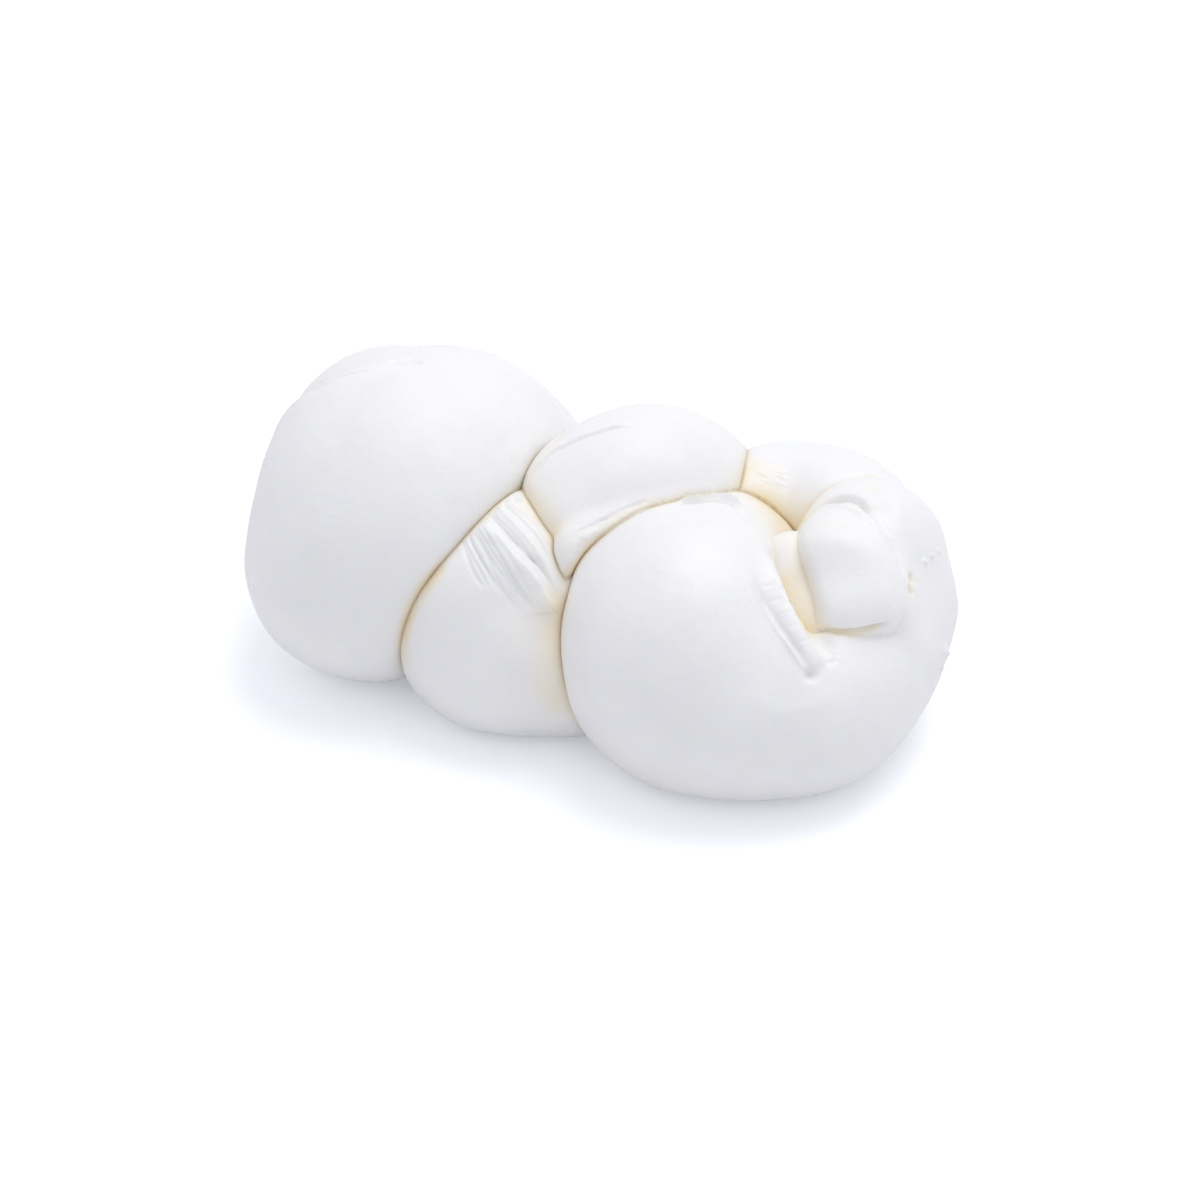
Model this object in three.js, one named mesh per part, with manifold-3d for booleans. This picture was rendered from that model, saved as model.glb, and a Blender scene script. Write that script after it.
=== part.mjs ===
// Braided buffalo mozzarella: one plait of soft stretched cheese, knotted at one end.
// Millimetres, +Z up, resting on z = 0. The plait runs along X, its big round lobe at -X and its
// knotted end at +X. The front, where the leaf and the wrap bulge out, faces -Y.
import * as THREE from 'three';
import { ConvexGeometry } from 'three/addons/geometries/ConvexGeometry.js';
import { mergeVertices } from 'three/addons/utils/BufferGeometryUtils.js';
import Module from 'manifold-3d';

const wasm = await Module();
wasm.setup();

// ---- driving dimensions ---------------------------------------------------------------------
const LENGTH = 155;            // overall length of the plait
const UNIT = LENGTH / 100.9;   // the strands are laid out on a grid, 100.9 units to the length
const SAG = 2.5;               // units pressed flat where the soft underside rests
const CORE = [0, 18];          // y and z of the middle of the plait; strands bulge away from it
const RING = 20;               // points round a strand
const STEPS = 4;               // sections between two points of a strand's route
const TIP = 0.85;              // length of a strand's rounded end, against its smaller half size

// Each strand is a soft rope along a route. A point of a route is x, y, z, then the rope's half
// width and half thickness there, all in units. `core` moves the middle that a rope bulges from.
const STRANDS = {
  // the big round lobe at the left end, from the back over the top and down the front
  crown: { route: [[-25.5, 19.5, 18, 14, 13], [-27.4, 9, 26, 16.9, 16.3], [-29.7, 0, 25.8, 20, 19.2],
    [-31, -6.5, 21.5, 18.5, 18], [-33, -8, 16, 16.5, 16.5]] },
  // the lobe behind it
  heel: { core: [-33, 7, 13], route: [[-40.6, 6, 15.5, 10, 10], [-41.6, 10.2, 23.2, 11.6, 11],
    [-38, 15.4, 23.6, 12.2, 11.8], [-28.5, 21, 17, 12, 12]] },
  // the wedge that comes out from under the crown at the front, and its swollen left edge
  leaf: { route: [[-10.4, 0.6, 25.6, 8.8, 7.6], [-12, -5.4, 22, 14.8, 12], [-11.8, -9.2, 16, 15, 13],
    [-7, -10, 12.5, 14.4, 12], [1.5, -8, 12.5, 12.5, 11]] },
  brow: { route: [[-8.3, -5.3, 25, 7.7, 7.4], [-15.4, -8.6, 22.4, 8.2, 8.2],
    [-19.3, -11.5, 18.5, 8.2, 8.2], [-13.2, -12.4, 11.5, 7.2, 7.2]] },
  // the strand across the top of the middle
  saddle: { route: [[-3, -5.6, 20, 8, 8.6], [-3, 2, 25.5, 12.3, 12.5], [3.2, 10, 28.2, 12.9, 13.2],
    [9.5, 17.5, 22, 10.5, 10.5], [13.5, 22, 17, 9.5, 9.5]] },
  // the strand that comes down the front of the right half
  wrap: { route: [[15.5, 13.5, 21.5, 8.5, 8], [14.4, 7.6, 24, 10, 10], [12.2, -1.4, 22.9, 15.5, 14.5],
    [15.1, -6.3, 19.3, 17.2, 16.3], [18.6, -7, 15.5, 15.3, 14.9]] },
  // the same strand going on round the right end
  arm: { route: [[15.5, -6.5, 17.5, 15.5, 15], [20, -8, 15, 15, 15], [26, -9, 14, 13.5, 13.5],
    [34, -4.5, 14.5, 12.5, 13], [36.6, 4.6, 16.5, 12, 12.5], [35.6, 14, 18.5, 10.5, 11.5]] },
  // the lobe at the back of the right half
  shoulder: { route: [[13.2, 14.4, 25.4, 8.5, 8.5], [18.8, 21.2, 23, 9.5, 9.5],
    [26.8, 21.2, 24, 9.5, 9.5], [34.5, 17.8, 21.5, 9.5, 9.5]] },
  // the loop that the knot comes through, the knot and its chin, and the bud beside them
  collar: { core: [33, 7, 7], route: [[37.5, 12, 19.5, 9.5, 9.5], [36, 16, 26.5, 7.5, 8],
    [31.6, 14.4, 28.2, 6, 7], [28.8, 9.6, 27, 4, 4.4]] },
  knob: { core: [33, 4, 7], route: [[31.9, 10.7, 25, 7.2, 8.4], [33.1, 7.3, 27.2, 7.6, 8.6],
    [34.5, 3.4, 29.4, 7.4, 8.3]] },
  chin: { core: [33, 4, 7], route: [[35.4, -0.4, 25, 4.6, 4.8], [37.6, 0.6, 25.4, 5.4, 6],
    [40.2, 2.2, 25, 5, 6]] },
  bud: { core: [29, 5, 7], route: [[33.6, -4.6, 25, 1.6, 1.8], [31.2, -1.9, 26.4, 3, 3],
    [28.6, 1.6, 27.2, 4, 4], [26.4, 5.2, 28.2, 4.4, 4.4]] },
  // the rolled edge between the wrap and the bud
  roll: { route: [[22.6, 0, 31, 1.4, 1.2], [25.7, -2.9, 31.9, 2.4, 1.9], [28.9, -5.8, 30.4, 2.7, 2.1],
    [31.5, -8.3, 28.3, 2.6, 2.1], [35.2, -10.1, 25.2, 2.3, 1.9]] },
  // two lobes low at the back, and the strand that fills the middle of the underside
  tuck: { route: [[-8, 14, 22, 10, 9], [-6, 19, 16, 12, 10], [-1, 20, 12, 12, 11],
    [8, 18, 12, 12, 11]] },
  foot: { route: [[8, 17, 10, 10, 9], [20, 21, 11, 11, 10], [31, 18, 11, 11, 10],
    [37, 9, 12, 10, 10]] },
  bed: { route: [[-32, 4, 13, 12, 12], [-12, 5, 13, 12, 12], [10, 7, 14, 12, 12],
    [29, 8, 14.5, 11, 12.5]] },
};

// ---- joining and cutting --------------------------------------------------------------------
function solid(geometry) {
  const bare = geometry.clone();
  bare.deleteAttribute('normal');
  bare.deleteAttribute('uv');
  const closed = mergeVertices(bare, 1e-4);
  return new wasm.Manifold(new wasm.Mesh({
    numProp: 3,
    vertProperties: new Float32Array(closed.attributes.position.array),
    triVerts: new Uint32Array(closed.index.array),
  }));
}

function geometryOf(manifold) {
  const mesh = manifold.getMesh();
  const geometry = new THREE.BufferGeometry();
  geometry.setAttribute('position', new THREE.BufferAttribute(mesh.vertProperties, 3));
  geometry.setIndex(new THREE.BufferAttribute(mesh.triVerts, 1));
  return geometry;
}

// ---- strands --------------------------------------------------------------------------------
// the points round a strand's section at u along its route, moved `along` and shrunk for its ends
function ring({ path, girth, core }, u, along = 0, shrink = 1) {
  const middle = path.getPoint(u);
  const ahead = path.getTangent(u);
  const size = girth.getPoint(u);
  const from = core ? new THREE.Vector3(...core) : new THREE.Vector3(middle.x, ...CORE);
  const outward = middle.clone().sub(from);
  outward.addScaledVector(ahead, -outward.dot(ahead)).normalize();
  const across = new THREE.Vector3().crossVectors(ahead, outward);
  const tip = TIP * Math.min(size.x, size.y);
  return Array.from({ length: RING }, (_, i) => {
    const turn = (2 * Math.PI * i) / RING;
    return middle.clone()
      .addScaledVector(ahead, along * tip)
      .addScaledVector(across, shrink * size.x * Math.cos(turn))
      .addScaledVector(outward, shrink * size.y * Math.sin(turn))
      .multiplyScalar(UNIT);
  });
}

// the rings of the rounded end at u, which points back (-1) or ahead (1)
function tip(line, u, way) {
  return [30, 60, 85].map((degrees) => THREE.MathUtils.degToRad(degrees))
    .flatMap((angle) => ring(line, u, way * Math.sin(angle), Math.cos(angle)));
}

// a strand is the run of skins stretched over each pair of neighbouring rings; every link also
// reaches a little way inside the one before it
function strand({ route, core }) {
  const curve = (points) => new THREE.CatmullRomCurve3(points, false, 'catmullrom', 0.5);
  const line = {
    path: curve(route.map(([x, y, z]) => new THREE.Vector3(x, y, z))),
    girth: curve(route.map((point) => new THREE.Vector3(point[3], point[4], 0))),
    core,
  };
  const count = STEPS * (route.length - 1);
  const links = [];
  for (let i = 0; i < count; i += 1) {
    const points = [...ring(line, i / count), ...ring(line, (i + 1) / count)];
    points.push(...(i === 0 ? tip(line, 0, -1) : ring(line, i / count, -0.2, 0.8)));
    if (i === count - 1) points.push(...tip(line, 1, 1));
    links.push(solid(new ConvexGeometry(points)));
  }
  return links.reduce((rope, link) => rope.add(link));
}

// ---- the plait ------------------------------------------------------------------------------
let plait = Object.values(STRANDS).map(strand).reduce((whole, rope) => whole.add(rope));

// press the underside flat, then stand the plait on z = 0 with its box centred on the origin
const below = new THREE.BoxGeometry(2 * LENGTH, 2 * LENGTH, LENGTH);
below.translate(0, 0, SAG * UNIT - LENGTH / 2);
plait = plait.subtract(solid(below));

const surface = geometryOf(plait);
surface.computeBoundingBox();
const middle = surface.boundingBox.getCenter(new THREE.Vector3());
surface.translate(-middle.x, -middle.y, -surface.boundingBox.min.z);
surface.computeVertexNormals();

const cheese = new THREE.MeshStandardMaterial({ name: 'cheese', color: 0xf3f1e6, roughness: 0.45 });
const braid = new THREE.Mesh(surface, cheese);
braid.name = 'braid';

const group = new THREE.Group();
group.name = 'braided_buffalo_mozzarella';
group.add(braid);

export default group;
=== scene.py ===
"""Looks of a braided buffalo mozzarella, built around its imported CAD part.

The cheese is one skin. Its soft strands are written as distances from routes. Each lobe's surface
is meshed and settled, gets its folds, wrinkles and lumps, and is joined to the others. Routes,
folds and all their sizes are in units, 100.9 to the CAD's length.
"""
import math
import random
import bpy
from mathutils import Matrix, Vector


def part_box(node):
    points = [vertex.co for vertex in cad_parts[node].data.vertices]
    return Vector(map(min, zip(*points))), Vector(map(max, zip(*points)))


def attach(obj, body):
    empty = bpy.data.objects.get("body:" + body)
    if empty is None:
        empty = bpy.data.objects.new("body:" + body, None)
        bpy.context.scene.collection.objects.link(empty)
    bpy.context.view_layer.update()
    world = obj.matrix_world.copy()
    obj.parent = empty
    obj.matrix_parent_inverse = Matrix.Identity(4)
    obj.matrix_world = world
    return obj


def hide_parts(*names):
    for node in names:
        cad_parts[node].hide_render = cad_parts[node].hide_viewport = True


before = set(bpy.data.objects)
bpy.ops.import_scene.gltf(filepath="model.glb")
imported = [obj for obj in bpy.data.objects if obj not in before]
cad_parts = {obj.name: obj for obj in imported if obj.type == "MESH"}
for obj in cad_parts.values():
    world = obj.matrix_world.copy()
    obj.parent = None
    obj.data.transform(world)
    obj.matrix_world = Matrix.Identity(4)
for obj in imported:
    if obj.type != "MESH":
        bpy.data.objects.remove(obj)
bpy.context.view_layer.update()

from concurrent.futures import ThreadPoolExecutor

import bpy
import bmesh
import numpy as np
import openvdb
from mathutils import Vector, noise

LOW, HIGH = (Vector(corner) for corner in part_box("braid"))
UNIT = (HIGH.x - LOW.x) / 100.9        # metres in a unit
SAG = 2.5                              # height, in units, at which the underside is pressed flat

# ---- strands --------------------------------------------------------------------------------
# name: x, y, z, half width, half thickness along the route
ROUTES = {
    "crown": [(-25.5, 19.5, 18, 14, 13), (-27.4, 9, 26, 16.9, 16.3),
              (-29.5, -0.2, 25.8, 20.2, 19.3), (-31, -6.5, 21.5, 18.5, 18),
              (-33, -8, 16, 16.5, 16.5)],
    "heel": [(-40.6, 6, 15.5, 10, 10), (-41.6, 10.2, 23.2, 11.6, 11), (-38, 15.4, 23.6, 12.2, 11.8),
             (-28.5, 21, 17, 12, 12)],
    "leaf": [(-10.4, 0.6, 25.6, 8.8, 7.6), (-11.7, -5.4, 22, 14.4, 11.9), (-11.8, -9.2, 16, 15, 13),
             (-7, -10, 12.5, 14.4, 12), (1.5, -8, 12.5, 12.5, 11)],
    "brow": [(-8.3, -5.3, 25, 7.7, 7.4), (-15.2, -9, 21.5, 8.2, 8), (-19.3, -11.5, 19.2, 8.1, 8.1),
             (-11.6, -12.4, 10.5, 7, 7)],
    "tab": [(-8, -6, 25.4, 5.4, 5.4), (-3.6, -8.5, 25.6, 4.9, 4.8), (-1.4, -9.6, 23.6, 4.8, 4.8)],
    "saddle": [(-3.1, -5.8, 20.3, 8.1, 8.7), (-3, 2, 25.5, 12.3, 12.5), (3.2, 10, 28.2, 12.9, 13.2),
               (9.5, 17.5, 22, 10.5, 10.5), (13.5, 22, 17, 9.5, 9.5)],
    "lip": [(-0.3, -11.2, 27.8, 0.8, 0.9), (-0.7, -9.2, 30.5, 1.6, 1.8),
            (-0.4, -7.4, 32.4, 2.2, 2.1), (4.6, -2.6, 34.2, 2, 2),
            (9, 2.2, 34.8, 1.6, 1.6), (12.8, 7, 34.2, 1.1, 1.1)],
    "wrap": [(15.5, 13.5, 21.5, 8.5, 8), (14.4, 7.6, 24, 10, 10), (11.4, -2.1, 22.5, 15.7, 14.5),
             (15.3, -6.3, 19.3, 17.2, 16.3), (18.6, -7, 15.5, 15.3, 14.9)],
    "arm": [(15.5, -6.5, 17.5, 15.5, 15), (20, -8, 15, 15, 15), (26, -9, 14, 13.5, 13.5),
            (34, -4.5, 14.5, 12.5, 13), (36.6, 4.6, 16.5, 12, 12.5), (35.6, 14, 18.5, 10.5, 11.5)],
    "shoulder": [(13.2, 14.4, 25.4, 8.5, 8.5), (18.8, 21.2, 23, 9.5, 9.5),
                 (26.8, 21.2, 24, 9.5, 9.5), (34.5, 17.8, 21.5, 9.5, 9.5)],
    "collar": [(37.5, 12, 19.5, 9.5, 9.5), (36, 16, 26.5, 7.5, 8), (31.6, 14.4, 28.2, 6, 7),
               (28.8, 9.6, 27, 4, 4.4)],
    "knob": [(32.9, 10.7, 26.2, 6.4, 8.2), (33.4, 7.3, 27.5, 7.2, 8.3),
             (34.5, 3.2, 28.6, 7.3, 8.2)],
    "chin": [(35, -2.4, 27.4, 2.8, 3), (37.6, -1, 28, 3.4, 3.4), (40.6, 1.2, 28, 3.4, 3.4)],
    "trench": [(25, 5, 34.5, 1.2, 1.5), (27.5, 0.5, 33.2, 1.8, 2.4), (31, -3.6, 31.4, 1.8, 2.4),
               (34.4, -6.6, 29, 1.3, 1.8), (37, -8.4, 27, 0.8, 1)],
    "bud": [(33.6, -4.6, 25, 1.6, 1.8), (31.2, -1.9, 26.4, 3, 3), (28.6, 1.6, 27.2, 4, 4),
            (26.4, 5.2, 28.2, 4.4, 4.4)],
    "roll": [(22.6, 0, 31, 1.4, 1), (25.7, -2.9, 31.9, 2.4, 1.9), (28.9, -5.8, 30.4, 2.7, 2.1),
             (31.5, -8.3, 28.3, 2.6, 2.1), (35.2, -10.1, 25.2, 2.3, 1.9)],
    "tuck": [(-8, 14, 22, 10, 9), (-6, 19, 16, 12, 10), (-1, 20, 12, 12, 11), (8, 18, 12, 12, 11)],
    "foot": [(8, 17, 10, 10, 9), (20, 21, 11, 11, 10), (31, 18, 11, 11, 10), (37, 9, 12, 10, 10)],
    "bed": [(-32, 4, 13, 12, 12), (-12, 5, 13, 12, 12), (10, 7, 14, 12, 12),
            (29, 8, 14.5, 11, 12.5)],
}
# the point that a strand bulges away from, where it isn't the braid's middle line
MIDDLE_Y, MIDDLE_Z = 0, 18
MIDDLES = {"heel": (-33, 7, 13), "collar": (33, 7, 7), "knob": (33, 4, 7), "chin": (33, 4, 7),
           "bud": (29, 5, 7)}
TIP = 0.85                             # length of a strand's rounded end, to its smaller half size
SPACING = 0.11                         # between the sections of a strand, to its half size
FEWEST_SECTIONS = 6
MELT = 0.22                            # how far neighbouring sections melt together
LEAST_MELT = 0.3                       # how far a strand melts where its melting hasn't set in
CREASE_SHADE_REACH = 0.8                    # how far from a crease its painted shade fades
SEAM_SHADE = 0.6                      # how strong that painted shade is in the seams within a lobe
REACH = 9.0                            # past this distance a strand doesn't matter
BESIDE = 6.0                           # and past this one it isn't beside another
SQUARE = {"knob": 2.5}                 # squareness of a strand's sections, 2 where they're oval
TIPS = {"knob": 0.6}

# A lobe is one strand, or several that melt into each other: each later strand with how far it
# melts and, where that isn't so all along, the x between which it sets in and how y leans it.
LOBES = {
    "crown": [("crown",), ("heel", 3.0, None)],
    "leaf": [("leaf",), ("brow", 6.5, None), ("tab", 5.0, None)],
    "saddle": [("saddle",), ("lip", 1.2, None)],
    "wrap": [("wrap",), ("arm", 8.5, None), ("roll", 0.8, None), ("collar", 2.5, (33, 40, 0)),
             ("cheek", 5.0, (43, 47, 0.6))],
    "shoulder": [("shoulder",)],
    "bud": [("bud",)],
    "tuck": [("tuck",)],
    "foot": [("foot",)],
    "bed": [("bed",)],
}
BLENDS = {"cheek": [("knob",), ("chin", 6.0)]}    # strands that melt before they join a lobe
TRENCHES = {"wrap": ("trench", 1.0)}   # lobe: what is pressed out of it, and how softly
# how deep and how wide the crease is that two lobes press into each other
CREASE = (0.5, 0.5)
CREASES = {
    ("crown", "leaf"): (1.1, 0.8), ("leaf", "wrap"): (0.9, 0.7), ("saddle", "wrap"): (0.2, 0.4),
    ("wrap", "bud"): (0.05, 0.3), ("wrap", "shoulder"): (0.3, 0.5), ("wrap", "bed"): (0.6, 1.2),
    ("leaf", "saddle"): (0.8, 0.8), ("saddle", "shoulder"): (0.3, 0.4),
}
PALE_CREASES = {("wrap", "bud"): 0.6}  # how deep a crease's painted shade is, where it isn't 1
FLOOR_MELT = 3.6                       # how softly the sides turn into the flat underside

# size of the facets of a lobe's skin, in units
FACET = 0.95
FACETS = {"saddle": 0.7, "wrap": 0.8, "bud": 0.5, "bed": 1.6}
CREASE_FACET, CREASE_BAND = 0.5, 2.2   # size of the facets near a crease, and how near

FINE_FACET = 0.14                      # the smallest facet that a fold asks for
ANY_FACET = 9.0                        # a size that asks for no finer facets
SPLIT_ABOVE = 1.35                     # an edge this much longer than wanted is split
ROUNDS = 3             # of splitting

# ---- folds ----------------------------------------------------------------------------------
TAPER = 0.22                           # the part of a fold's length in which it fades at an end
SADDLE_PLEAT = [(-10.8, -1.6, 35.2), (-9.5, 0.4, 36.8), (-8, 2.5, 38.3), (-5.4, 4.3, 39.8),
                (-2.6, 5.9, 40.8), (-0.6, 7.2, 41.4), (3, 8.4, 41.6)]
# lobe: height, width, fade, points. A fold without a fade is a ridge, or a groove where its
# height is below 0. With a fade it's a step: its left side is raised, and sinks back over the
# fade.
FOLDS = {
    "crown": [
        # the seam with the heel, and the dent where they meet on top
        (0.45, 0.3, 5, [(-30, 7.2, 44), (-32.4, 5, 43.7), (-35.8, 1.9, 44), (-39.5, 0.5, 42.6),
                         (-42.7, -0.6, 40.4), (-45.6, -0.9, 37.4), (-48.6, 0.2, 33.4),
                         (-51, 2.4, 28.6), (-51.6, 4.6, 24)]),
        (-0.9, 0.5, 0, [(-30, 8, 44), (-32.6, 5.7, 43.7), (-36, 2.7, 44), (-39.8, 1.3, 42.6),
                        (-43, 0.2, 40.4), (-46, -0.1, 37.4), (-49, 1, 33.4), (-51.4, 3.2, 28.6)]),
        (-0.9, 0.7, 0, [(-33.8, 4.6, 43.6), (-32.6, 4.9, 43.8), (-31.2, 5.5, 43.9),
                       (-29.6, 6.6, 43.9)]),
        # long soft pleats
        (0.16, 0.9, 0, [(-16, -1, 36), (-13.5, 3, 36), (-12.5, 7, 36.5)]),
        (-0.14, 0.8, 0, [(-18, -3, 37), (-15.5, 2, 38), (-14.5, 7, 38.5)]),
        (-0.2, 1.1, 0, [(-47, -12, 24), (-44, -18, 20), (-38, -23, 17)]),
        (-0.25, 0.7, 0, [(-45, 18, 16), (-40, 25, 18), (-33, 30, 17), (-26, 31, 16)]),
        (0.2, 0.6, 0, [(-44, 16, 23), (-38, 24, 25), (-31, 27, 25)]),
    ],
    "leaf": [
        # the fold down its right side, with the shadow line and the fine pleats beside it
        (1.1, 0.2, 2.2, [(1.2, -15.2, 25), (-1.1, -14.1, 27.3), (-3.6, -13.2, 29.6),
                          (-5.7, -13, 31.4), (-8.5, -12.1, 32.8), (-11.7, -10.5, 33.7),
                          (-13.4, -9.3, 34.2)]),
        (-0.65, 0.35, 0, [(0, -13.8, 26), (-3, -12.4, 30), (-5.1, -12.1, 31.7),
                          (-7.9, -11.3, 33.1), (-11.2, -9.7, 34), (-13.8, -8, 34.5)]),
        (-0.22, 0.22, 0, [(-13, -7.6, 34.4), (-11.3, -9, 33.9), (-7.3, -10.8, 32.8),
                          (-4.2, -11.9, 30.2), (-1.6, -12.6, 28.4)]),
        (0.28, 0.28, 0, [(-12.8, -6, 34.8), (-10.6, -8.1, 34.1), (-5.9, -10.2, 31.9),
                         (-2.7, -11.3, 28.5)]),
        (-0.28, 0.24, 0, [(-12.6, -5, 34.8), (-10.6, -7, 34.2), (-5.8, -9.1, 32),
                          (-2.2, -11.2, 29.2)]),
        (0.22, 0.24, 0, [(-12, -4, 34.8), (-10.5, -6, 34.3), (-5.7, -8.1, 32.2),
                         (-1.7, -11.1, 30)]),
    ],
    "saddle": [
        (0.4, 0.22, 1.8, SADDLE_PLEAT), (-0.35, 0.22, 0, SADDLE_PLEAT),
        (-0.26, 0.25, 0, [(-7.5, 6.2, 39.4), (-5, 9, 40), (-2, 11.6, 40.2), (2.4, 14.2, 40.4)]),
        (-0.25, 0.6, 0, [(2, 26, 30), (8, 27, 27), (14, 27, 22)]),
        (0.25, 0.8, 0, [(-2, 24, 32), (5, 24, 33), (12, 24, 30)]),
        # the lip over the wrap
        (0.35, 0.22, 1.5, [(8, -0.6, 36.8), (6.8, -1.8, 36.5), (4.5, -4.4, 35.9),
                           (2.9, -6.5, 35.2), (1.1, -8.2, 34.6), (0.5, -9.5, 33.4)]),
        (-0.3, 0.25, 0, [(7.6, -0.2, 36.8), (6.3, -1.4, 36.6), (4, -4, 36), (2.3, -6, 35.4),
                         (0.5, -7.8, 34.8), (0, -9, 33.6)]),
    ],
    "wrap": [
        # the thin lip on top
        (1.0, 0.3, 0, [(10.4, 1.2, 36.4), (12.4, 3.6, 36.2), (14.2, 6, 35.6), (16.8, 7.2, 34.8),
                       (20, 6.2, 34)]),
        (-0.7, 0.27, 0, [(10.6, 0.4, 36.4), (12.9, 2.9, 36.2), (14.8, 5.1, 35.6), (17, 6.2, 35),
                          (20, 5.3, 34.2)]),
        # the rolled edge's rim and groove
        (0.32, 0.26, 0, [(24, -6.8, 35), (26.2, -8, 33.7), (28.5, -9.6, 31.6), (30.5, -10.5, 29.8),
                         (32.9, -11.2, 28), (36, -12.6, 25.2)]),
        (-0.65, 0.5, 0, [(24.6, -6, 35), (26.9, -7.6, 33.7), (29.2, -9.2, 31.6),
                         (31.2, -10.1, 29.8), (33.6, -10.8, 28), (36.6, -12.2, 25.4)]),
        (-0.1, 0.3, 0, [(26.4, -6.8, 33), (27.6, -6, 32.6), (28.8, -4.2, 32)]),
        (-0.12, 0.25, 0, [(28.2, -8.2, 32), (29.4, -7, 31.6), (30.2, -5.6, 31)]),
        (0.1, 0.25, 0, [(29.4, -8.8, 31), (31.4, -7, 30)]),
        (-0.1, 0.3, 0, [(30.6, -10, 29.8), (33.2, -8.2, 29)]),
        (-0.14, 0.22, 0, [(32.6, -10.9, 28.3), (34.6, -9.3, 28)]),
        # broad dents and stretch marks
        (-0.22, 1.3, 0, [(5, -22, 22), (10, -24, 20), (18, -24, 18)]),
        (0.18, 1.2, 0, [(28, -17, 22), (34, -14, 20), (40, -8, 20)]),
        (-0.3, 0.6, 0, [(45, 14, 20), (42, 21, 20), (36, 25, 20)]),
        # the knob's rim
        (0.6, 0.4, 0, [(27.4, 8, 33.4), (29.4, 10.6, 35.4), (33, 10.4, 36.8), (36.2, 8.8, 36.6),
                       (39, 7.4, 35), (41.4, 6.4, 33)]),
        (-1.2, 0.45, 0, [(26.6, 9.4, 31.6), (28.6, 12, 33.8), (31.6, 13.2, 35), (34.6, 12.2, 35.2),
                         (37.2, 10.4, 35.2), (39.8, 8.8, 34.8), (42.4, 7.2, 33),
                         (44.4, 5.6, 30.6)]),
        (-0.8, 0.3, 0, [(32.4, -5.2, 27.4), (34, -5.6, 27.3), (37.2, -5, 27.6), (39.8, -4.1, 27.9),
                        (42, -2.7, 28.2), (44.4, -0.4, 28.4)]),
    ],
    "shoulder": [
        (-0.3, 0.5, 0, [(22, 29, 26), (28, 30, 25), (35, 27, 23)]),
        (0.2, 0.7, 0, [(20, 28, 29), (28, 28, 30), (36, 25, 27)]),
    ],
    "tuck": [
        (-0.4, 0.6, 0, [(-16, 24, 20), (-8, 30, 19), (2, 31, 17)]),
        (0.3, 0.8, 0, [(-14, 22, 25), (-6, 28, 25), (3, 29, 23)]),
    ],
    "foot": [
        (-0.35, 0.6, 0, [(10, 27, 14), (20, 31, 14), (31, 28, 14)]),
    ],
}
# wrinkles side by side: lobe, height, width, number, where the first and the last of them
# start, and where these two end
WRINKLES = [
    ("leaf", -0.22, 0.23, 9, (-15.6, -12.6, 32.2), (-13.2, -10, 34), (-7.6, -18, 26.2),
     (-1.8, -15.4, 25.8)),
    ("shoulder", -0.17, 0.2, 8, (14.2, 17.8, 32.6), (15.6, 14.8, 31.4), (19.4, 20, 32.6),
     (21.8, 15.8, 31)),
    ("saddle", -0.12, 0.2, 5, (-0.8, -7.6, 33.6), (-1.6, -9.6, 31), (6.5, -2.4, 36.2),
     (5, -3.2, 35)),
    ("crown", -0.18, 0.22, 6, (-39.4, 3, 42.4), (-43.4, 1.2, 39.8), (-44, 5.6, 38.6),
     (-47.6, 3.4, 34.6)),
    ("tuck", -0.2, 0.3, 6, (-14, 25, 21), (-12, 27, 15), (-2, 31, 21), (-2, 32, 14)),
]
# dents and lumps: lobe, height, radius, place
LUMPS = [
    ("leaf", 0.18, 0.6, (-1.6, -15.2, 26.2)), ("leaf", -0.18, 0.6, (-0.8, -15, 25)),
    ("leaf", -0.8, 0.9, (-10.6, -4.4, 34.6)),
    ("crown", 0.6, 0.9, (-43.2, -21, 19.2)), ("crown", 0.25, 0.6, (-44.6, -19.6, 18.4)),
    ("wrap", 0.75, 0.85, (48.5, 7.3, 18)), ("wrap", 0.5, 0.5, (48.8, 5.4, 17)),
    ("wrap", -0.9, 0.8, (36.4, -12.3, 25.2)), ("wrap", -0.7, 0.7, (38, -9.2, 26.2)),
    ("wrap", -0.9, 0.7, (43, 7.2, 29.2)), ("wrap", -0.7, 0.6, (43.9, 5, 29.1)),
    ("wrap", 0.5, 0.4, (44.4, 15, 28.9)), ("wrap", 0.55, 0.45, (43.9, 13.2, 29.4)),
    ("wrap", 0.45, 0.4, (43.4, 11.6, 29.2)), ("wrap", 0.35, 0.35, (44.9, 13.9, 28.4)),
    ("shoulder", 0.35, 0.6, (31.8, 24.1, 32.2)), ("wrap", -0.25, 1.4, (35, 18, 34)),
]
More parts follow.
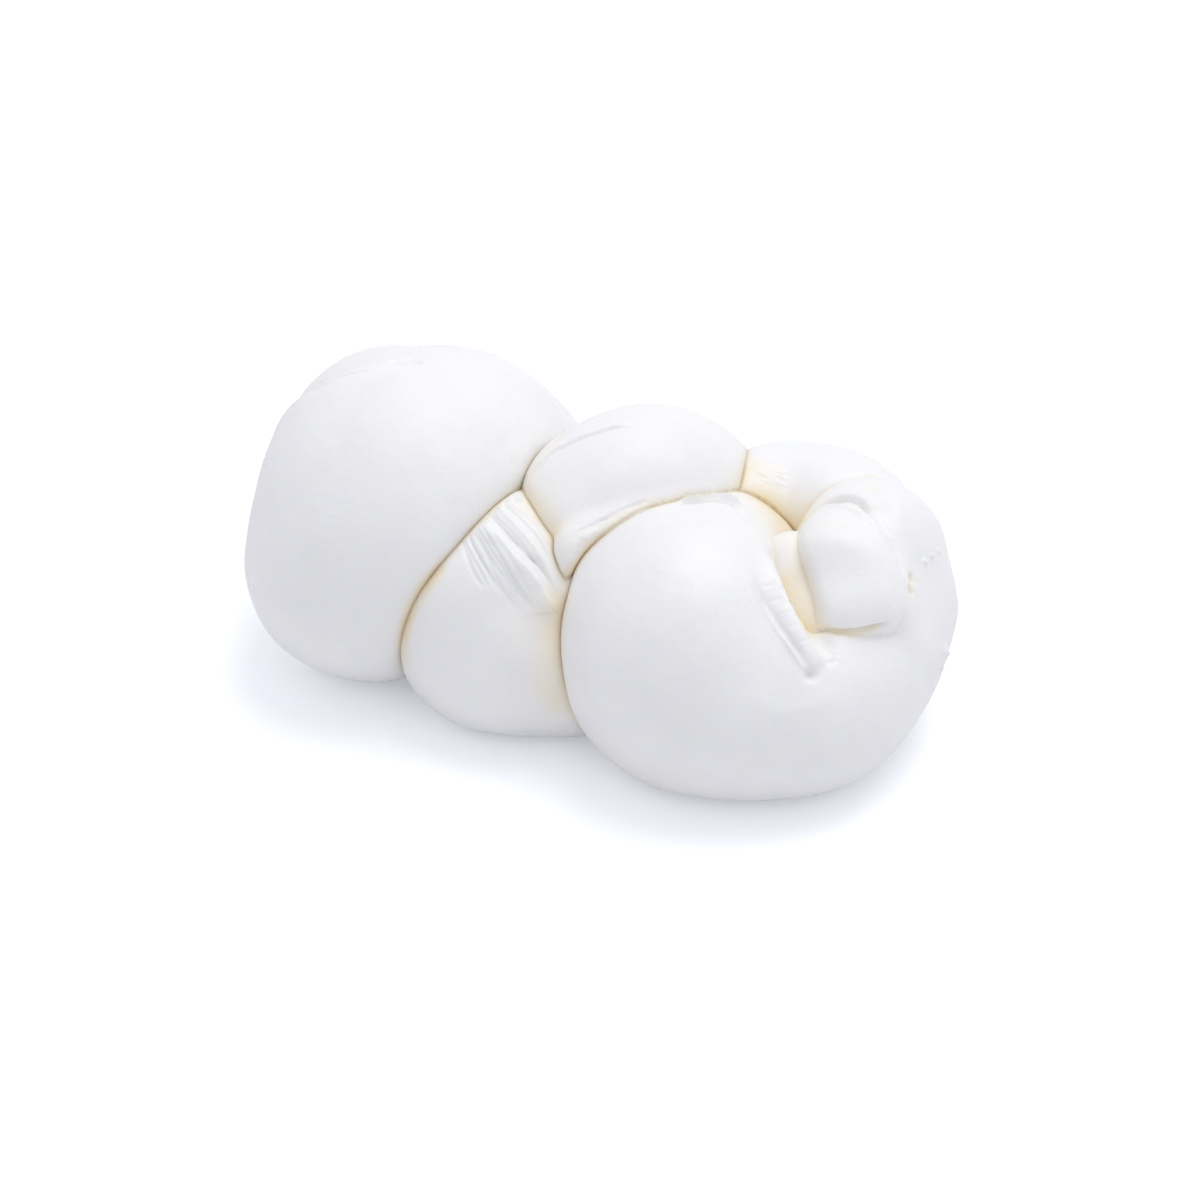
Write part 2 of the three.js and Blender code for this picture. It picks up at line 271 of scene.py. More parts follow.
# where the whey has yellowed the skin, or shade is painted along a seam, groove or dent: how
# strongly, how far around, and along which line
STAINS_AND_SHADES = [
    (1.0, 3.8, [(19.5, 12, 31), (25, 11, 29.5)]),
    (0.45, 2.6, [(26, 5, 31), (29, 1, 30.6)]),
    (1.0, 1.9, [(28.6, -1.2, 30.6), (30.8, -3, 29.2), (33.2, -5.4, 27)]),
    (1.0, 0.6, [(34, -5.6, 27.2), (37.2, -5, 27.4), (39.8, -4.1, 27.6), (42, -2.7, 28)]),
    (1.0, 0.8, [(43, 7.4, 29.2), (43.9, 4.8, 29.1)]),
    (0.8, 0.4, [(-13, -9.4, 33.8), (-11.9, -6.2, 34.7), (-10.6, -2.8, 35.6)]),
    (0.7, 1.2, [(-8.4, -3.4, 35), (-4.8, -5.6, 34.4), (-2, -8.2, 33.4), (0, -10, 30.8)]),
    (0.6, 1.0, [(0.6, -10.5, 30), (1.7, -8, 33.4), (4.2, -4.6, 34.6), (8.2, -0.4, 35.4),
                (12, 4, 35)]),
    (0.75, 1.9, [(-0.4, -14.4, 27.4), (-0.3, -17, 22.8), (0.9, -19.4, 17.6), (2.8, -21, 13.2)]),
    (0.5, 1.0, [(-10, -2, 35), (-9.4, 3, 37.5), (-8.5, 8, 38)]),
    (0.9, 1.0, [(-16.6, -16.6, 28.6), (-18.8, -19.8, 25), (-19.8, -20.8, 20), (-19.6, -21, 15)]),
    (0.6, 0.7, [(-33, 4.9, 43.3), (-31.6, 5.3, 43.2)]),
    (0.8, 0.8, [(32, 21, 33), (34, 16, 35)]),
    (0.35, 0.7, [(-32.6, 5.6, 43), (-36, 2.6, 43.2), (-39.8, 1.2, 41.8), (-43, 0.1, 39.8),
                 (-46, -0.2, 36.8), (-49, 0.9, 33)]),
    (0.5, 1.8, [(14, 12, 33), (16.5, 17, 33)]),
    (0.2, 3.4, [(-6.6, -5, 35), (-2.6, -8, 33.6)]), (0.22, 4, [(-2, -17, 25), (-1, -19, 17)]),
    (0.12, 5, [(8, -20, 8), (22, -24, 8)]),
]


def catmull(rows, count):
    """count points, evenly spread over a smooth curve through the rows."""
    rows = np.array(rows, float)
    padded = np.vstack([2 * rows[0] - rows[1], rows, 2 * rows[-1] - rows[-2]])
    u = np.linspace(0, len(rows) - 1, count)
    i = np.minimum(u.astype(int), len(rows) - 2)
    t = (u - i)[:, None]
    a, b, c, d = (padded[i + k] for k in range(4))
    return 0.5 * (2 * b + (c - a) * t + (2 * a - 5 * b + 4 * c - d) * t ** 2
                  + (3 * b - a - 3 * c + d) * t ** 3)


def length_of(rows):
    return np.linalg.norm(np.diff(np.array(rows, float)[:, :3], axis=0), axis=1).sum()


def unit(v):
    return v / np.maximum(np.linalg.norm(v, axis=-1, keepdims=True), 1e-9)


def smooth_step(low, high, value):
    t = np.clip((value - low) / (high - low), 0, 1)
    return t * t * (3 - 2 * t)


def soft_min(a, b, k):
    h = np.clip(0.5 + 0.5 * (b - a) / k, 0, 1)
    return b + (a - b) * h - k * h * (1 - h)


def side_by_side(work, points, piece=4000):
    """work(points), done on several pieces of them at once."""
    if len(points) <= piece:
        return work(points)
    with ThreadPoolExecutor(4) as pool:
        pieces = np.array_split(points, len(points) // piece + 1)
        return np.concatenate(list(pool.map(work, pieces)))


class Strand:
    """A rope of soft cheese: rounded sections along a route, melted together."""

    def __init__(self, name):
        rows = np.array(ROUTES[name], float)
        self.square = SQUARE.get(name, 2)
        line = catmull(rows, max(FEWEST_SECTIONS, math.ceil(
            length_of(rows) / (SPACING * rows[:, 3:].mean()))))
        self.centre = line[:, :3]
        ahead = unit(np.gradient(self.centre, axis=0))
        if name in MIDDLES:
            start = np.array(MIDDLES[name], float)
        else:
            start = self.centre.copy()
            start[:, 1:] = MIDDLE_Y, MIDDLE_Z
        out = self.centre - start
        out = unit(out - (out * ahead).sum(1, keepdims=True) * ahead)
        self.turn = np.stack([ahead, np.cross(ahead, out), out], axis=2)
        half = line[:, 3:]
        self.size = np.column_stack([TIPS.get(name, TIP) * half.min(1), half])
        self.low = (self.centre - self.size.max(1, keepdims=True)).min(0)
        self.high = (self.centre + self.size.max(1, keepdims=True)).max(0)

    def distance(self, points, reach=REACH):
        """About how far each point is outside the rope, negative inside; reach where far off."""
        result = np.full(len(points), reach)
        near = ((points > self.low - reach) & (points < self.high + reach)).all(1)
        p = points[near]
        if not len(p):
            return result
        found = np.empty((len(self.centre), len(p)))
        for k, (centre, turn, size) in enumerate(zip(self.centre, self.turn, self.size)):
            q = (p - centre) @ (turn / size)
            if self.square == 2:
                r = np.sqrt(np.einsum("ij,ij->i", q, q))
                q /= size
                found[k] = r * (r - 1) / np.maximum(np.sqrt(np.einsum("ij,ij->i", q, q)), 1e-6)
            else:
                q = np.abs(q)
                r = (q ** self.square).sum(1) ** (1 / self.square)
                q = q ** (self.square - 1) / size
                slope = np.sqrt(np.einsum("ij,ij->i", q, q)) / np.maximum(
                    r, 1e-6) ** (self.square - 1)
                found[k] = (r - 1) / np.maximum(slope, 1e-6)
        least = found.min(0)
        found -= least
        result[near] = least - MELT * np.log(np.exp(found / -MELT).sum(0))
        return np.minimum(result, reach)


def melting(melt, between, points):
    """How far a strand melts at each point, where that sets in along x and, leaning, along y."""
    low, high, lean = between
    set_in = smooth_step(low, high, points[:, 0] + lean * points[:, 1])
    return LEAST_MELT + (melt - LEAST_MELT) * set_in


class Blend:
    """Strands that melt into one before they join a lobe."""

    def __init__(self, name):
        self.parts = [(Strand(row[0]), *row[1:]) for row in BLENDS[name]]
        self.low = np.min([part[0].low for part in self.parts], axis=0)
        self.high = np.max([part[0].high for part in self.parts], axis=0)

    def distance(self, points, reach=REACH):
        value = self.parts[0][0].distance(points, reach)
        for strand, melt in self.parts[1:]:
            value = soft_min(value, strand.distance(points, reach), melt)
        return value


class Lobe:
    """One or more strands melted into one soft body, pressed by its neighbours and the floor."""

    def __init__(self, name):
        self.name = name
        self.parts = [((Blend if row[0] in BLENDS else Strand)(row[0]), *row[1:])
                      for row in LOBES[name]]
        self.trench = None
        if name in TRENCHES:
            self.trench = Strand(TRENCHES[name][0]), TRENCHES[name][1]
        self.low = np.min([part[0].low for part in self.parts], axis=0)
        self.high = np.max([part[0].high for part in self.parts], axis=0)
        self.facet = FACETS.get(name, FACET) * 1

    def distance(self, points, reach=REACH):
        value = self.parts[0][0].distance(points, reach)
        for strand, melt, between in self.parts[1:]:
            if between:
                melt = melting(melt, between, points)
            value = soft_min(value, strand.distance(points, reach), melt)
        if self.trench:
            value = -soft_min(-value, self.trench[0].distance(points, reach), self.trench[1])
        return value

    def seams(self, points):
        """How near each point is to a seam between the lobe's own strands, 0 to 1."""
        value = self.parts[0][0].distance(points)
        result = np.zeros(len(points))
        for strand, melt, between in self.parts[1:]:
            if between:
                melt = melting(melt, between, points)
            other = strand.distance(points)
            near = np.exp(-np.abs(value - other) / CREASE_SHADE_REACH - 0.8 * (melt - LEAST_MELT))
            result = np.maximum(result, near * (np.minimum(value, other) > -2))
            value = soft_min(value, other, melt)
        return result

    def meet(self, lobes):
        """Notes the neighbours that press a crease into this lobe."""
        self.beside = [
            (other, *CREASES.get((self.name, other.name),
                                 CREASES.get((other.name, self.name), CREASE)))
            for other in lobes if other is not self
            and (other.low - 4 < self.high).all() and (other.high + 4 > self.low).all()]

    def measure(self, points):
        """The pressed lobe's distance from each point, and how far away its neighbour is."""
        def work(p):
            own = self.distance(p)
            value, apart = own.copy(), np.full(len(p), BESIDE)
            close = np.flatnonzero(np.abs(own) < 4)
            for other, depth, width in self.beside:
                gap = other.distance(p[close], BESIDE) - own[close]
                value[close] += depth * np.exp(-np.maximum(gap, 0) / width)
                apart[close] = np.minimum(apart[close], gap)
            return np.column_stack([-soft_min(-value, p[:, 2] - SAG, FLOOR_MELT), apart])
        return side_by_side(work, points).T

    def settle(self, points, normals, most=0.5):
        """Moves points along their normals onto the lobe's exact surface."""
        value = self.measure(points)[0]
        first = np.clip(-value, -most, most)
        there = self.measure(points + first[:, None] * normals)[0]
        slope = (there - value) / np.where(np.abs(first) < 1e-6, 1, first)
        second = -there / np.where((slope < 0.4) | (np.abs(first) < 1e-6), 1, slope)
        return points + (first + np.clip(second, -most / 2, most / 2))[:, None] * normals

    def slope(self, points, step=0.05):
        value = self.measure(points)[0]
        return unit(np.stack([self.measure(points + step * axis)[0] - value
                              for axis in np.eye(3)], axis=1))

    def first_mesh(self):
        """A coarse skin: points and quads."""
        low = self.low - 2.5 * self.facet
        low[2] = max(low[2], SAG - 2.5 * self.facet)
        coarse = 3
        shape = np.ceil((self.high + 2.5 * self.facet - low) / (coarse * self.facet)).astype(int)
        thin = np.stack(np.meshgrid(*[np.arange(n + 1) for n in shape], indexing="ij"), axis=-1)
        rough = side_by_side(self.distance, low + thin.reshape(-1, 3) * coarse * self.facet)
        values = rough.reshape(shape + 1)
        for axis in range(3):
            values = np.moveaxis(values, axis, 0)
            part = np.arange(shape[axis] * coarse + 1) / coarse
            i = np.minimum(part.astype(int), shape[axis] - 1)
            t = (part - i)[:, None, None]
            values = np.moveaxis(values[i] * (1 - t) + values[i + 1] * t, 0, axis)
        band = (values > -2.6) & (values < 1.6)
        values[band] = self.measure(low + np.argwhere(band) * self.facet)[0]
        volume = openvdb.FloatGrid(REACH)
        volume.copyFromArray(np.ascontiguousarray(values, np.float32))
        points, quads = volume.convertToQuads(0.0)
        return low + np.array(points, float) * self.facet, np.array(quads)


def relax(points, edges, count=2, strength=0.5):
    for _ in range(count):
        total = np.zeros_like(points)
        for k in range(3):
            total[:, k] = (np.bincount(edges[:, 0], points[edges[:, 1], k], len(points))
                           + np.bincount(edges[:, 1], points[edges[:, 0], k], len(points)))
        number = np.bincount(edges.ravel(), minlength=len(points))
        points = points + strength * (total / np.maximum(number, 1)[:, None] - points)
    return points


def edges_of(mesh):
    edges = np.empty(2 * len(mesh.edges), dtype=np.int32)
    mesh.edges.foreach_get("vertices", edges)
    return edges.reshape(-1, 2)


def points_of(mesh):
    points = np.empty(3 * len(mesh.vertices))
    mesh.vertices.foreach_get("co", points)
    return points.reshape(-1, 3)


def place(mesh, points):
    mesh.vertices.foreach_set("co", points.ravel())
    mesh.update()


def normals_of(mesh):
    normals = np.empty(3 * len(mesh.vertices))
    mesh.vertex_normals.foreach_get("vector", normals)
    return normals.reshape(-1, 3)


class Fold:
    """A ridge, groove or step along a line on a lobe's skin."""

    def __init__(self, lobe, height, width, fade, rows):
        self.height, self.width, self.fade = height, width, fade
        line = catmull(rows, max(4, round(length_of(rows) / 0.4)))
        for _ in range(3):
            normals = lobe.slope(line)
            line = line - lobe.measure(line)[0][:, None] * normals
        self.line = line
        ahead = unit(np.gradient(line, axis=0))
        self.aside = unit(np.cross(ahead, normals))
        self.reach = 3 * width + 3 * fade

    def across(self, points):
        """How far each point is to the right of the line, and how far along it, 0 to 1."""
        step = points[:, None, :] - self.line
        near = np.einsum("ijk,ijk->ij", step, step).argmin(1)
        best = np.full(len(points), np.inf)
        side, along = np.zeros(len(points)), np.zeros(len(points))
        for start in (np.maximum(near - 1, 0), np.minimum(near, len(self.line) - 2)):
            a, b = self.line[start], self.line[start + 1]
            t = np.clip(((points - a) * (b - a)).sum(1) / ((b - a) ** 2).sum(1), 0, 1)
            away = points - a - t[:, None] * (b - a)
            far = np.linalg.norm(away, axis=1)
            closer = far < best
            best[closer], along[closer] = far[closer], (start + t)[closer]
            side[closer] = (away * self.aside[start]).sum(1)[closer]
        return np.where(side < 0, -best, best), along / (len(self.line) - 1)

    def near(self, points, reach):
        return np.flatnonzero(((points > self.line.min(0) - reach)
                               & (points < self.line.max(0) + reach)).all(1))

    def rise(self, points):
        """How far the fold lifts each point."""
        result = np.zeros(len(points))
        near = self.near(points, self.reach)
        if not len(near):
            return result
        across, along = self.across(points[near])
        taper = smooth_step(0, TAPER, along) * smooth_step(0, TAPER, 1 - along)
        taper *= [0.9 + 0.4 * noise.noise(Vector(p) * 0.4) for p in points[near]]
        if self.fade:
            shape = (0.5 - 0.5 * np.tanh(across / self.width)) * np.exp(
                -(np.maximum(-across, 0) / self.fade) ** 2)
        else:
            shape = np.exp(-(across / self.width) ** 2)
        result[near] = self.height * shape * taper
        return result

    def finest(self, points):
        """The facet size that the fold asks for at each point."""
        result = np.full(len(points), ANY_FACET)
        near = self.near(points, 3 * self.width)
        if len(near):
            far = np.abs(self.across(points[near])[0])
            result[near] = np.where(far < 2.2 * self.width,
                                    max(0.6 * self.width, FINE_FACET), ANY_FACET)
        return result


def wrinkles_of(name):
    """Rows for Fold: the lobe's wrinkles that lie side by side, each a little different."""
    rows = []
    for lobe, height, width, count, first_start, last_start, first_end, last_end in WRINKLES:
        if lobe != name:
            continue
        dice = random.Random(f"{name} {count} {height}")
        for i in range(count):
            part = (i + dice.uniform(-0.3, 0.3)) / (count - 1)
            start = Vector(first_start).lerp(Vector(last_start), part)
            end = Vector(first_end).lerp(Vector(last_end), part)
            end = start.lerp(end, dice.uniform(0.7, 1.1))
            line = [start.lerp(end, t) for t in (0, 0.35, 0.7, 1)]
            for point in line[1:]:
                point += Vector([dice.uniform(-0.35, 0.35) for _ in range(3)])
            rows.append((height * dice.uniform(0.6, 1.2), width * dice.uniform(0.8, 1.3), 0,
                         [tuple(point) for point in line]))
    return rows


def lumps_on(name, points):
    """How far the lobe's lumps and dents lift each point."""
    result = np.zeros(len(points))
    for lobe, height, radius, spot in LUMPS:
        if lobe == name:
            far = points - spot
            near = np.flatnonzero((far ** 2).sum(1) < (4 * radius) ** 2)
            for i in near:
                wobble = 1 + 0.5 * noise.noise(Vector(points[i]) * (1.1 / radius))
                result[i] += height * math.exp(-(far[i] ** 2).sum() / (radius * wobble) ** 2)
    return result


def refined(lobe, mesh, folds):
    """Finer facets near creases and folds; what shows them is settled again."""
    for _ in range(ROUNDS):
        points = points_of(mesh)
        apart = lobe.measure(points)[1]
        shows = apart > -1
        wanted = np.where((apart < CREASE_BAND) & shows, CREASE_FACET, ANY_FACET)
        for fold in folds:
            wanted = np.minimum(wanted, np.where(shows, fold.finest(points), ANY_FACET))
        for name, _, radius, spot in LUMPS:
            if name == lobe.name:
                close = ((points - spot) ** 2).sum(1) < (2.2 * radius) ** 2
                wanted[close] = np.minimum(wanted[close], 0.35 * radius)
        edges = edges_of(mesh)
        long = np.linalg.norm(points[edges[:, 0]] - points[edges[:, 1]], axis=1)
        split = long > SPLIT_ABOVE * wanted[edges].min(1)
        if not split.any():
            break
        bm = bmesh.new()
        bm.from_mesh(mesh)
        bm.edges.ensure_lookup_table()
        chosen = [bm.edges[i] for i in np.flatnonzero(split)]
        bmesh.ops.subdivide_edges(bm, edges=chosen, cuts=1, use_grid_fill=True)
        bmesh.ops.triangulate(bm, faces=[f for f in bm.faces if len(f.verts) > 4])
        old = len(points)
        bm.to_mesh(mesh)
        bm.free()
        points, normals = points_of(mesh), normals_of(mesh)
        place(mesh, points)
        fresh = np.arange(len(points)) >= old
        points[fresh] = lobe.settle(points[fresh], normals[fresh], 0.3)
        place(mesh, points)


# ---- the skin -------------------------------------------------------------------------------
SWELL, SWELL_RATE = 0.28, 0.07         # the slow unevenness: its height, and how often it turns
RIPPLE, RIPPLE_RATE = 0.10, 0.19       # the quicker one on top of it
APART = Vector((31, 17, 5))            # keeps the two from turning together


def unevenness(points):
    """How far the soft skin swells and sinks, in units."""
    return np.array([SWELL * noise.noise(p * SWELL_RATE)
                     + RIPPLE * noise.noise(p * RIPPLE_RATE + APART)
                     for p in map(Vector, points)])


def skin_of(lobe):
    points, quads = lobe.first_mesh()
    mesh = bpy.data.meshes.new(lobe.name)
    mesh.from_pydata(points.tolist(), [], quads.tolist())
    edges = edges_of(mesh)
    for _ in range(2):
        place(mesh, relax(points_of(mesh), edges, 1))
        place(mesh, lobe.settle(points_of(mesh), normals_of(mesh)))
    folds = [Fold(lobe, *row) for row in FOLDS.get(lobe.name, []) + wrinkles_of(lobe.name)]
    refined(lobe, mesh, folds)
    points, normals = points_of(mesh), normals_of(mesh)
    rise = unevenness(points) * smooth_step(SAG, SAG + 2, points[:, 2])
    rise += lumps_on(lobe.name, points)
    for fold in folds:
        rise += fold.rise(points)
    place(mesh, points + rise[:, None] * normals)
    obj = bpy.data.objects.new(lobe.name, mesh)
    bpy.context.collection.objects.link(obj)
    return obj


def joined(objects):
    """One closed mesh of all the lobes."""
    whole = objects[0]
    for other in objects[1:]:
        join = whole.modifiers.new("join", "BOOLEAN")
        join.solver = "MANIFOLD"
        join.operation = "UNION"
        join.object = other
        graph = bpy.context.evaluated_depsgraph_get()
        mesh = bpy.data.meshes.new_from_object(whole.evaluated_get(graph))
        whole.modifiers.clear()
        old, whole.data = whole.data, mesh
        bpy.data.meshes.remove(old)
        bpy.data.meshes.remove(other.data)
    return whole


def without_crumbs(mesh):
    """Keeps the mesh's largest part; the joining can leave slivers beside it."""
    bm = bmesh.new()
    bm.from_mesh(mesh)
    left, parts = set(bm.verts), []
    while left:
        part, todo = [], [left.pop()]
        while todo:
            vertex = todo.pop()
            part.append(vertex)
            for edge in vertex.link_edges:
                other = edge.other_vert(vertex)
                if other in left:
                    left.remove(other)
                    todo.append(other)
        parts.append(part)
    parts.sort(key=len)
    bmesh.ops.delete(bm, geom=[vertex for part in parts[:-1] for vertex in part], context="VERTS")
    bm.to_mesh(mesh)
    bm.free()


def stain_and_shade_of(points):
    """How yellow each point is painted, 0 to 1: by the whey, and by painted shade along seams,
    grooves and dents.
    """
    clean = np.ones(len(points))
    for strength, radius, rows in STAINS_AND_SHADES:
        line = catmull(rows, max(4, round(length_of(rows) / (0.5 * radius))))
        far = ((points[:, None, :] - line) ** 2).sum(2).min(1)
        clean *= 1 - strength * np.exp(-far / radius ** 2)
    return 1 - clean


lobes = [Lobe(name) for name in LOBES]
for lobe in lobes:
    lobe.meet(lobes)
cheese = joined([skin_of(lobe) for lobe in lobes])
skin = cheese.data
without_crumbs(skin)
cheese.name = skin.name = "cheese_skin"

points = points_of(skin)
away = side_by_side(lambda p: np.stack([lobe.distance(p, BESIDE) for lobe in lobes], axis=1),
                    points)
wrap = list(LOBES).index("wrap")
on_wrap = away[:, wrap] < away.min(1) + 0.05
# painted shade in the seams between the wrap's own strands
seams = SEAM_SHADE * side_by_side(lobes[wrap].seams, points) * on_wrap
# how deep the painted crease shade goes: paler between the pairs in PALE_CREASES
depth = np.ones(len(points))
for pair, pale in PALE_CREASES.items():
    both = np.isin(np.argsort(away, axis=1)[:, :2], [list(LOBES).index(name) for name in pair])
    depth[both.all(1)] = pale
away.sort(axis=1)
gap = away[:, 1] - away[:, 0]

# into metres, in the middle of the CAD's box
low, high = points.min(0), points.max(0)
shift = np.array([-(low[0] + high[0]) / 2, -(low[1] + high[1]) / 2, -low[2]])
place(skin, (points + shift) * UNIT)


def paint(name, values):
    layer = skin.attributes.new(name, "FLOAT", "POINT")
    layer.data.foreach_set("value", values.astype(np.float32))


# painted crease shade: cream where another lobe's skin lies close, and in the wrap's own seams
paint("crevice", np.maximum(depth * np.exp(-gap / CREASE_SHADE_REACH), seams))
# whey stains, partly painted shade along seams, grooves and dents
paint("whey", stain_and_shade_of(points))
skin.polygons.foreach_set("use_smooth", [True] * len(skin.polygons))
skin.set_sharp_from_angle(angle=math.radians(50))
skin.update()
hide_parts("braid")
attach(cheese, "root")

# ---- materials ------------------------------------------------------------------------------
MILK_WHITE, MILK_SHADE = (0.915, 0.912, 0.90), (0.885, 0.882, 0.872)
MILK_WARM, MILK_COOL = (0.92, 0.905, 0.875), (0.86, 0.868, 0.88)
# the crevice cream is painted crease shade, the deep brown is painted deep shadow in the creases,
# and the whey yellow is partly whey stain and partly painted shade
CREASE_SHADE_CREAM, WHEY_AND_SHADE_YELLOW, DEEP_SHADOW_BROWN = (0.84, 0.77, 0.60), (0.90, 0.74, 0.45), (0.50, 0.37, 0.22)
FLOOR_WHITE, FLOOR_SHADE = (0.93, 0.93, 0.94), (0.92, 0.92, 0.93)
FLOOR_GLOW = (0.90, 0.93, 1.0)


def grain_group():
    """Uneven whiteness and a fine grain, for anything soft and white."""
    group = bpy.data.node_groups.new("grain", "ShaderNodeTree")
    sockets = group.interface
    sockets.new_socket("Patch Size", in_out="INPUT", socket_type="NodeSocketFloat")
    sockets.new_socket("Grain Size", in_out="INPUT", socket_type="NodeSocketFloat")
    sockets.new_socket("Patches", in_out="OUTPUT", socket_type="NodeSocketFloat")
    sockets.new_socket("Grain", in_out="OUTPUT", socket_type="NodeSocketFloat")
    nodes, links = group.nodes, group.links
    ins, outs = nodes.new("NodeGroupInput"), nodes.new("NodeGroupOutput")
    where = nodes.new("ShaderNodeTexCoord")
    for size, result in (("Patch Size", "Patches"), ("Grain Size", "Grain")):
        often = nodes.new("ShaderNodeMath")
        often.operation = "DIVIDE"
        often.inputs[0].default_value = 1
        links.new(ins.outputs[size], often.inputs[1])
        cloud = nodes.new("ShaderNodeTexNoise")
        cloud.inputs["Detail"].default_value = 2
        cloud.inputs["Roughness"].default_value = 0.6
        links.new(where.outputs["Object"], cloud.inputs["Vector"])
        links.new(often.outputs[0], cloud.inputs["Scale"])
        links.new(cloud.outputs["Fac"], outs.inputs[result])
    return group


def node(tree, kind, **values):
    made = tree.nodes.new(kind)
    for name, value in values.items():
        setattr(made, name, value)
    return made


def ramped(tree, source, low, high, to_low=0.0, to_high=1.0):
    """source, stretched from low..high to to_low..to_high."""
    made = node(tree, "ShaderNodeMapRange", interpolation_type="SMOOTHSTEP")
    for name, value in (("From Min", low), ("From Max", high),
                        ("To Min", to_low), ("To Max", to_high)):
        made.inputs[name].default_value = value
    tree.links.new(source, made.inputs["Value"])
    return made.outputs["Result"]


def mixed(tree, amount, first, second):
    """A colour between first and second; each is a colour or a socket."""
    made = node(tree, "ShaderNodeMix", data_type="RGBA")
    tree.links.new(amount, made.inputs["Factor"])
    for socket, value in ((made.inputs[6], first), (made.inputs[7], second)):
        if isinstance(value, tuple):
            socket.default_value = (*value, 1)
        else:
            tree.links.new(value, socket)
    return made.outputs[2]


def combined(tree, operation, first, second):
    made = node(tree, "ShaderNodeMath", operation=operation)
    for socket, value in zip(made.inputs, (first, second)):
        if isinstance(value, (int, float)):
            socket.default_value = value
        else:
            tree.links.new(value, socket)
    return made.outputs[0]


def drawn(tree, name):
    """What paint() left on the skin."""
    made = node(tree, "ShaderNodeAttribute", attribute_name=name)
    return made.outputs["Fac"]


GRAIN = grain_group()


def grain(tree, patch_size, grain_size):
    made = node(tree, "ShaderNodeGroup", node_tree=GRAIN)
    made.inputs["Patch Size"].default_value = patch_size
    made.inputs["Grain Size"].default_value = grain_size
    return made.outputs["Patches"], made.outputs["Grain"]


def fresh_cheese():
    material = bpy.data.materials.new("fresh_cheese")
    material.use_nodes = True
    tree = material.node_tree
    shader = tree.nodes["Principled BSDF"]
    patches, fine = grain(tree, 0.022, 0.0016)        # sizes in metres
    blots, pores = grain(tree, 0.005, 0.0005)
    crevice, whey = drawn(tree, "crevice"), drawn(tree, "whey")

    colour = mixed(tree, ramped(tree, patches, 0.35, 0.65), MILK_WHITE, MILK_SHADE)
    colour = mixed(tree, ramped(tree, blots, 0.45, 0.8, 0, 0.5), colour, MILK_WARM)
    speck = ramped(tree, fine, 0.55, 0.8, 0, 0.35)
    colour = mixed(tree, speck, colour, MILK_COOL)
    # painted crease shade: creases and seams turn cream where shade and warm bounced light fall
    crease_shade_amount = combined(tree, "MULTIPLY", ramped(tree, crevice, 0.25, 0.95), 0.55)
    colour = mixed(tree, crease_shade_amount, colour, CREASE_SHADE_CREAM)
    # the whey stains, partly painted shade, grow yellower in the creases
    yellow = combined(tree, "MULTIPLY", whey, combined(tree, "ADD", 0.42, combined(
        tree, "MULTIPLY", crevice, 0.6)))
    colour = mixed(tree, yellow, colour, WHEY_AND_SHADE_YELLOW)
    # painted deep shadow: the deepest creases turn brown, more so where stained
    deep_shadow = combined(tree, "MULTIPLY", ramped(tree, crevice, 0.68, 1.0),
                    ramped(tree, whey, 0, 1, 0.35, 0.8))
    colour = mixed(tree, deep_shadow, colour, DEEP_SHADOW_BROWN)
    tree.links.new(colour, shader.inputs["Base Color"])

    tree.links.new(ramped(tree, patches, 0.3, 0.7, 0.40, 0.52), shader.inputs["Roughness"])
    shader.inputs["IOR"].default_value = 1.42
    shader.inputs["Subsurface Weight"].default_value = 0.3
    shader.inputs["Subsurface Radius"].default_value = (1.0, 0.82, 0.62)
    shader.inputs["Subsurface Scale"].default_value = 0.004

    height = combined(tree, "ADD", combined(tree, "MULTIPLY", fine, 0.6),
                      combined(tree, "ADD", combined(tree, "MULTIPLY", blots, 1.0),
                               combined(tree, "MULTIPLY", pores, 0.22)))
    bump = node(tree, "ShaderNodeBump")
    bump.inputs["Strength"].default_value = 0.22
    bump.inputs["Distance"].default_value = 0.0009
    tree.links.new(height, bump.inputs["Height"])
    tree.links.new(bump.outputs["Normal"], shader.inputs["Normal"])
    return material


def pale_floor():
    material = bpy.data.materials.new("pale_floor")
    material.use_nodes = True
    tree = material.node_tree
    shader = tree.nodes["Principled BSDF"]
    patches, fine = grain(tree, 0.3, 0.002)
    colour = mixed(tree, ramped(tree, patches, 0.3, 0.7), FLOOR_WHITE, FLOOR_SHADE)
    tree.links.new(colour, shader.inputs["Base Color"])
    tree.links.new(ramped(tree, fine, 0.3, 0.7, 0.5, 0.62), shader.inputs["Roughness"])
    seen = node(tree, "ShaderNodeLightPath")
    shader.inputs["Emission Color"].default_value = (*FLOOR_GLOW, 1)
    tree.links.new(combined(tree, "MULTIPLY", seen.outputs["Is Camera Ray"], 0.28),
                   shader.inputs["Emission Strength"])
    return material


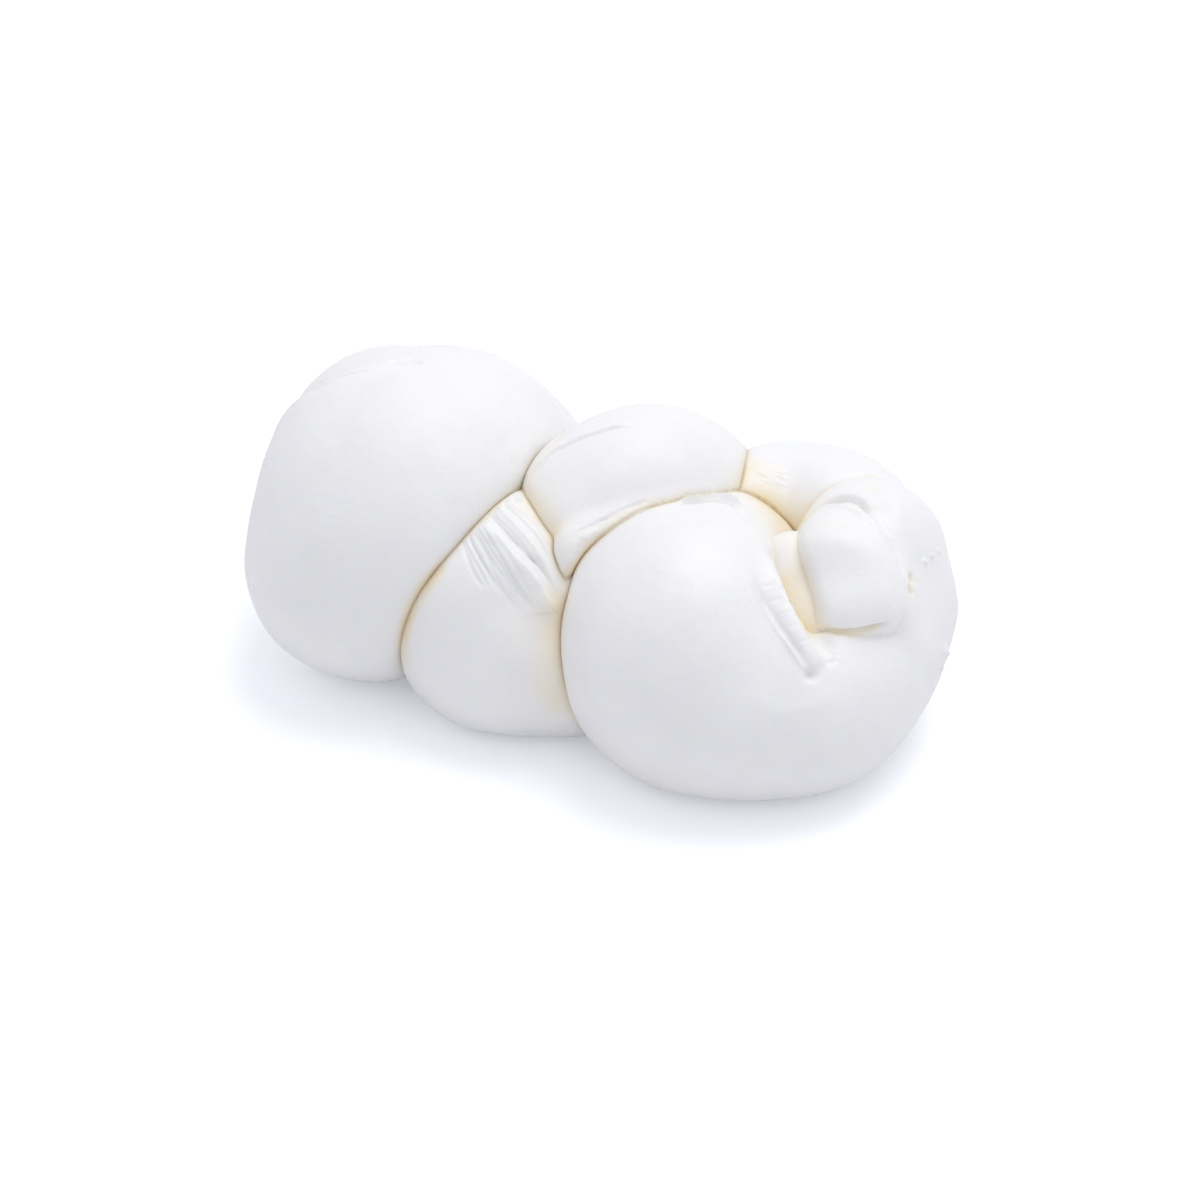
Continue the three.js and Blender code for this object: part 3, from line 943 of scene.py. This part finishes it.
skin.materials.clear()
skin.materials.append(fresh_cheese())

# ---- floor, light and camera ----------------------------------------------------------------
FLOOR_HALF = 3                         # half its side, in metres
floor_mesh = bpy.data.meshes.new("floor")
floor_mesh.from_pydata([(FLOOR_HALF * x, FLOOR_HALF * y, 0)
                        for x, y in ((-1, -1), (1, -1), (1, 1), (-1, 1))], [], [(0, 1, 2, 3)])
floor = bpy.data.objects.new("floor", floor_mesh)
bpy.context.collection.objects.link(floor)
floor_mesh.materials.append(pale_floor())

world = bpy.data.worlds.new("studio")
bpy.context.scene.world = world
world.use_nodes = True
sky = world.node_tree.nodes["Background"]
sky.inputs["Color"].default_value = (0.915, 0.93, 1.0, 1)
sky.inputs["Strength"].default_value = 0.76


def soft_light(name, at, aim, size, power, colour):
    lamp = bpy.data.lights.new(name, "AREA")
    lamp.shape = "DISK"
    lamp.size = size
    lamp.energy = power
    lamp.color = colour
    obj = bpy.data.objects.new(name, lamp)
    obj.location = at
    obj.rotation_euler = (Vector(aim) - Vector(at)).to_track_quat("-Z", "Y").to_euler()
    bpy.context.collection.objects.link(obj)


soft_light("overhead", (0.1, 0.3, 0.95), (0, 0, 0.03), 0.7, 3.8, (1, 0.985, 0.965))

AZIMUTH, ELEVATION = math.radians(24), math.radians(40)
DISTANCE, AIM_HEIGHT = 662.5, 16.44    # in units
LENS, SENSOR = 142.6, 36               # in millimetres
target = Vector((shift[0], shift[1], AIM_HEIGHT - SAG)) * UNIT
camera_data = bpy.data.cameras.new("camera")
camera_data.lens = LENS
camera_data.sensor_width = SENSOR
camera = bpy.data.objects.new("camera", camera_data)
toward = Vector((math.sin(AZIMUTH) * math.cos(ELEVATION), -math.cos(AZIMUTH) * math.cos(ELEVATION),
                 math.sin(ELEVATION)))
camera.location = target + DISTANCE * UNIT * toward
camera.rotation_euler = (-toward).to_track_quat("-Z", "Y").to_euler()
bpy.context.collection.objects.link(camera)
bpy.context.scene.camera = camera
bpy.context.scene.view_settings.view_transform = "Standard"
